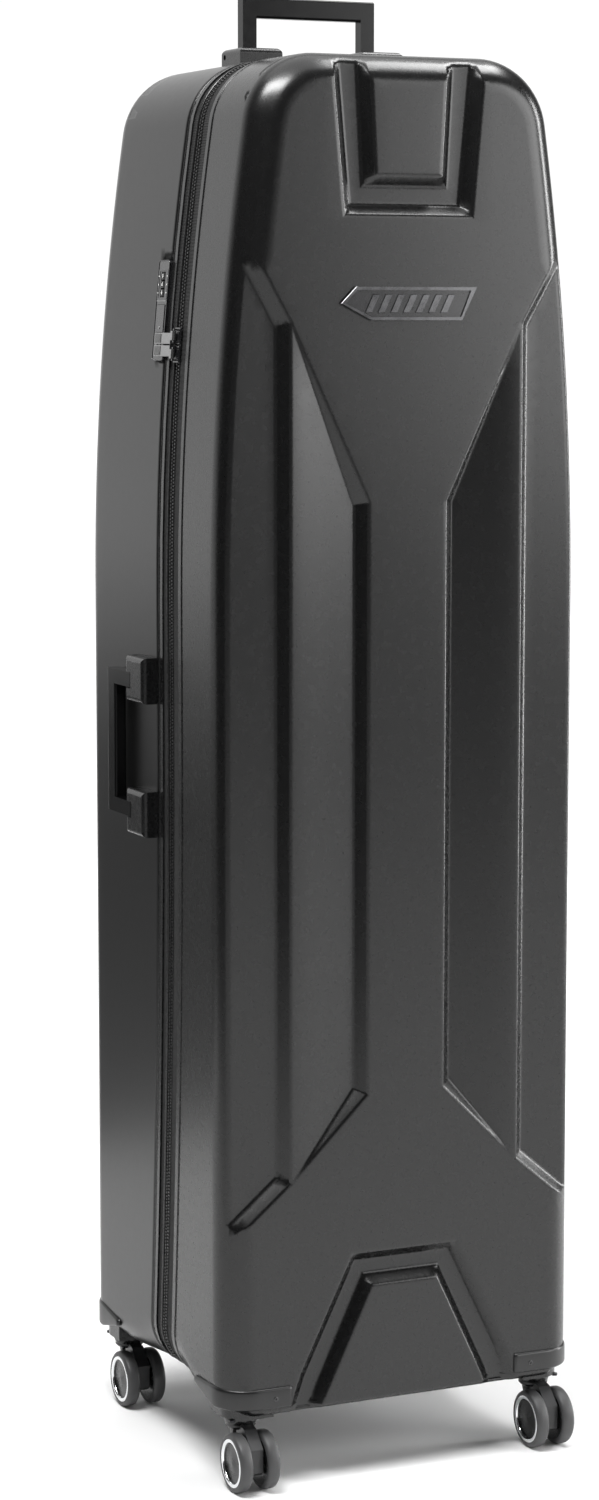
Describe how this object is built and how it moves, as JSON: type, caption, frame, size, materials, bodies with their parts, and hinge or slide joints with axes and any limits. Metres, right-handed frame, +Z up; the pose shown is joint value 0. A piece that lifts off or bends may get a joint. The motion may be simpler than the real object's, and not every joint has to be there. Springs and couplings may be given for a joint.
{
  "type": "golf travel case",
  "caption": "Upright hard-shell golf travel case: two shells on a side hinge, zip seam with combination lock, bail handles and twin-wheel spinner casters.",
  "frame": {"origin": "bottom centre of the whole case's bounding box, on the floor", "axes": "+Z up the standing case, +X to the hinge side, -Y out of the patterned front face"},
  "size_m": [0.3858, 0.3588, 1.3645],
  "materials": {
    "shell": "satin with a fine moulded grain",
    "lining": "woven",
    "zip_tape": "woven",
    "zip_coil": "satin",
    "tyre": "matte",
    "webbing": "woven",
    "wheel_hub": "gloss",
    "bright_trim": "polished",
    "black_metal": "gloss",
    "gunmetal": "brushed",
    "steel": "satin",
    "dial": "satin",
    "black_plastic": "satin"
  },
  "bodies": {
    "back_half": {"back_caster_mounts": "black_plastic", "back_edge_trim": "black_plastic", "back_hinge_leaves": "black_metal", "back_left_corner_guard": "black_plastic", "back_lining": "lining", "back_right_corner_guard": "black_plastic", "back_screws": "steel", "back_shell": "shell", "back_zip_tape": "zip_tape", "back_zip_teeth": "zip_coil", "compression_straps": "webbing", "handle_backplates": "steel", "handle_pins": "steel", "hinge_pins": "steel", "lock_housing": "black_plastic", "side_handle_mounts": "black_plastic", "strap_buckles": "black_plastic", "top_handle_mounts": "black_plastic"},
    "top_handle": {"top_handle_grip": "black_plastic"},
    "side_handle": {"side_handle_grip": "black_plastic"},
    "lock_dial_upper": {"lock_dial_1": "dial"},
    "lock_dial_middle": {"lock_dial_2": "dial"},
    "lock_dial_lower": {"lock_dial_3": "dial"},
    "lock_release": {"lock_button": "black_plastic"},
    "upper_zip_slider": {"upper_slider": "black_metal"},
    "lower_zip_slider": {"lower_slider": "black_metal"},
    "upper_zip_pull": {"upper_pull": "gunmetal"},
    "lower_zip_pull": {"lower_pull": "gunmetal"},
    "front_left_caster": {"front_left_fork": "black_plastic"},
    "front_left_left_wheel": {"front_left_left_tyre": "tyre", "front_left_left_hub": "wheel_hub"},
    "front_left_right_wheel": {"front_left_right_tyre": "tyre", "front_left_right_hub": "wheel_hub"},
    "front_right_caster": {"front_right_fork": "black_plastic"},
    "front_right_left_wheel": {"front_right_left_tyre": "tyre", "front_right_left_hub": "wheel_hub"},
    "front_right_right_wheel": {"front_right_right_tyre": "tyre", "front_right_right_hub": "wheel_hub"},
    "back_left_caster": {"back_left_fork": "black_plastic"},
    "back_left_left_wheel": {"back_left_left_tyre": "tyre", "back_left_left_hub": "wheel_hub"},
    "back_left_right_wheel": {"back_left_right_tyre": "tyre", "back_left_right_hub": "wheel_hub"},
    "back_right_caster": {"back_right_fork": "black_plastic"},
    "back_right_left_wheel": {"back_right_left_tyre": "tyre", "back_right_left_hub": "wheel_hub"},
    "back_right_right_wheel": {"back_right_right_tyre": "tyre", "back_right_right_hub": "wheel_hub"},
    "front_half": {"front_caster_mounts": "black_plastic", "front_edge_trim": "black_plastic", "front_hinge_leaves": "black_metal", "front_left_corner_guard": "black_plastic", "front_lining": "lining", "front_right_corner_guard": "black_plastic", "front_screws": "steel", "front_shell": "shell", "front_zip_tape": "zip_tape", "front_zip_teeth": "zip_coil", "badge": "bright_trim"}
  },
  "joints": [
    {"name": "shell_hinge", "type": "hinge", "parent": "back_half", "child": "front_half", "pos_m": [0.1893, -0.03712, 0.6], "axis": [0, 0, 1], "range_deg": [0, 180]},
    {"name": "top_handle_pivot", "type": "hinge", "parent": "back_half", "child": "top_handle", "pos_m": [0.0041, 0.05788, 1.3085], "axis": [1, 0, 0], "range_deg": [-90, 0]},
    {"name": "side_handle_pivot", "type": "hinge", "parent": "back_half", "child": "side_handle", "pos_m": [-0.1854, 0.02888, 0.671], "axis": [0, 0, 1], "range_deg": [0, 90]},
    {"name": "front_left_swivel", "type": "hinge", "parent": "front_half", "child": "front_left_caster", "pos_m": [-0.1489, -0.13012, 0.06], "axis": [0, 0, 1], "continuous": true},
    {"name": "front_left_left_wheel_spin", "type": "hinge", "parent": "front_left_caster", "child": "front_left_left_wheel", "pos_m": [-0.1489, -0.15213, 0.02725], "axis": [1, 0, 0], "continuous": true},
    {"name": "front_left_right_wheel_spin", "type": "hinge", "parent": "front_left_caster", "child": "front_left_right_wheel", "pos_m": [-0.1489, -0.15213, 0.02725], "axis": [1, 0, 0], "continuous": true},
    {"name": "front_right_swivel", "type": "hinge", "parent": "front_half", "child": "front_right_caster", "pos_m": [0.1571, -0.13012, 0.06], "axis": [0, 0, 1], "continuous": true},
    {"name": "front_right_left_wheel_spin", "type": "hinge", "parent": "front_right_caster", "child": "front_right_left_wheel", "pos_m": [0.1571, -0.15213, 0.02725], "axis": [1, 0, 0], "continuous": true},
    {"name": "front_right_right_wheel_spin", "type": "hinge", "parent": "front_right_caster", "child": "front_right_right_wheel", "pos_m": [0.1571, -0.15213, 0.02725], "axis": [1, 0, 0], "continuous": true},
    {"name": "back_left_swivel", "type": "hinge", "parent": "back_half", "child": "back_left_caster", "pos_m": [-0.1489, 0.14588, 0.06], "axis": [0, 0, 1], "continuous": true},
    {"name": "back_left_left_wheel_spin", "type": "hinge", "parent": "back_left_caster", "child": "back_left_left_wheel", "pos_m": [-0.1489, 0.12387, 0.02725], "axis": [1, 0, 0], "continuous": true},
    {"name": "back_left_right_wheel_spin", "type": "hinge", "parent": "back_left_caster", "child": "back_left_right_wheel", "pos_m": [-0.1489, 0.12387, 0.02725], "axis": [1, 0, 0], "continuous": true},
    {"name": "back_right_swivel", "type": "hinge", "parent": "back_half", "child": "back_right_caster", "pos_m": [0.1571, 0.14588, 0.06], "axis": [0, 0, 1], "continuous": true},
    {"name": "back_right_left_wheel_spin", "type": "hinge", "parent": "back_right_caster", "child": "back_right_left_wheel", "pos_m": [0.1571, 0.12387, 0.02725], "axis": [1, 0, 0], "continuous": true},
    {"name": "back_right_right_wheel_spin", "type": "hinge", "parent": "back_right_caster", "child": "back_right_right_wheel", "pos_m": [0.1571, 0.12387, 0.02725], "axis": [1, 0, 0], "continuous": true},
    {"name": "lock_dial_upper_turn", "type": "hinge", "parent": "back_half", "child": "lock_dial_upper", "pos_m": [-0.15915, 0.00438, 1.07347], "axis": [0.0898, 0, 0.996], "continuous": true},
    {"name": "lock_dial_middle_turn", "type": "hinge", "parent": "back_half", "child": "lock_dial_middle", "pos_m": [-0.15915, 0.00438, 1.07347], "axis": [0.0898, 0, 0.996], "continuous": true},
    {"name": "lock_dial_lower_turn", "type": "hinge", "parent": "back_half", "child": "lock_dial_lower", "pos_m": [-0.15915, 0.00438, 1.07347], "axis": [0.0898, 0, 0.996], "continuous": true},
    {"name": "lock_button_press", "type": "slide", "parent": "back_half", "child": "lock_release", "axis": [0.996, 0, -0.0898], "range_m": [0, 0.002], "stiffness_N_per_m": 600, "springref_m": -0.001},
    {"name": "upper_slider_travel", "type": "hinge", "parent": "back_half", "child": "upper_zip_slider", "pos_m": [2.7631, -0.03712, 0.81], "axis": [0, 1, 0], "range_deg": [0, 3.3]},
    {"name": "upper_pull_flip", "type": "hinge", "parent": "upper_zip_slider", "child": "upper_zip_pull", "pos_m": [-0.17189, -0.03712, 1.0514], "axis": [0.082, 0, 0.9966], "range_deg": [0, 150]},
    {"name": "lower_slider_travel", "type": "hinge", "parent": "back_half", "child": "lower_zip_slider", "pos_m": [2.7631, -0.03712, 0.81], "axis": [0, 1, 0], "range_deg": [-4.2, 0]},
    {"name": "lower_pull_flip", "type": "hinge", "parent": "lower_zip_slider", "child": "lower_zip_pull", "pos_m": [-0.1732, -0.03712, 1.03487], "axis": [0.0764, 0, 0.9971], "range_deg": [0, 150]}
  ]
}
